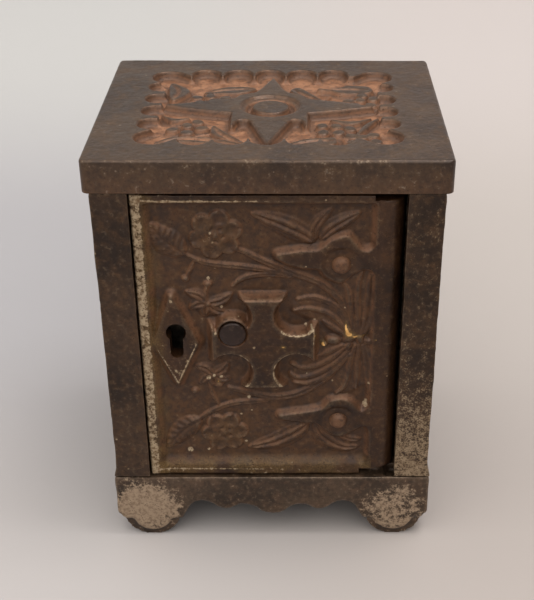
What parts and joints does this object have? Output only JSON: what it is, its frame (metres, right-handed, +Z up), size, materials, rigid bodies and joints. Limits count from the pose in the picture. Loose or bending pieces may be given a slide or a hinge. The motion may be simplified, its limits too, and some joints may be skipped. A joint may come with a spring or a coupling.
{
  "type": "locking box",
  "caption": "Small cast-iron locking box on four round feet, with a scalloped lid field, a side-hinged door bearing a cross in relief, and a key lock with a sliding bolt.",
  "frame": {"origin": "on the surface it stands on, at the middle of the closed box's bounding box", "axes": "+X to the right as seen from the door, +Y from the door to the back, +Z up"},
  "size_m": [0.095, 0.0792, 0.1234],
  "materials": {
    "body_iron": "dark brown patina, worn grey at the edges and feet",
    "lid_iron": "smooth plum-brown top, rusty tan in the sunken field",
    "door_iron": "brown with old bronze paint in the relief, rim worn to pale pewter",
    "stud_iron": "dark, handled smooth",
    "lock_steel": "dull grey steel with brown oxide",
    "fastener_steel": "blackened steel, worn on the edges"
  },
  "bodies": {
    "cabinet": {"base": "body_iron", "left_side": "body_iron", "right_side": "body_iron", "back_plate": "body_iron", "lid": "lid_iron", "tie_screw_front_left": "fastener_steel", "tie_screw_rear_left": "fastener_steel", "tie_screw_front_right": "fastener_steel", "tie_screw_rear_right": "fastener_steel"},
    "door": {"door": "door_iron", "hinge_pin_upper": "fastener_steel", "hinge_pin_lower": "fastener_steel", "strap_rivet_upper": "door_iron", "strap_rivet_lower": "door_iron", "pull_stud": "stud_iron", "pull_stud_washer": "fastener_steel", "lock_case": "lock_steel", "bolt_spring": "lock_steel", "lock_screw_upper": "fastener_steel", "lock_screw_lower": "fastener_steel"},
    "bolt": {"lock_bolt": "lock_steel"}
  },
  "joints": [
    {"name": "door_hinge", "type": "hinge", "parent": "cabinet", "child": "door", "pos_m": [0.0303, -0.03222, 0.068], "axis": [0, 0, 1], "range_deg": [0, 90]},
    {"name": "bolt_slide", "type": "slide", "parent": "door", "child": "bolt", "axis": [-1, 0, 0], "range_m": [0, 0.0045]}
  ]
}
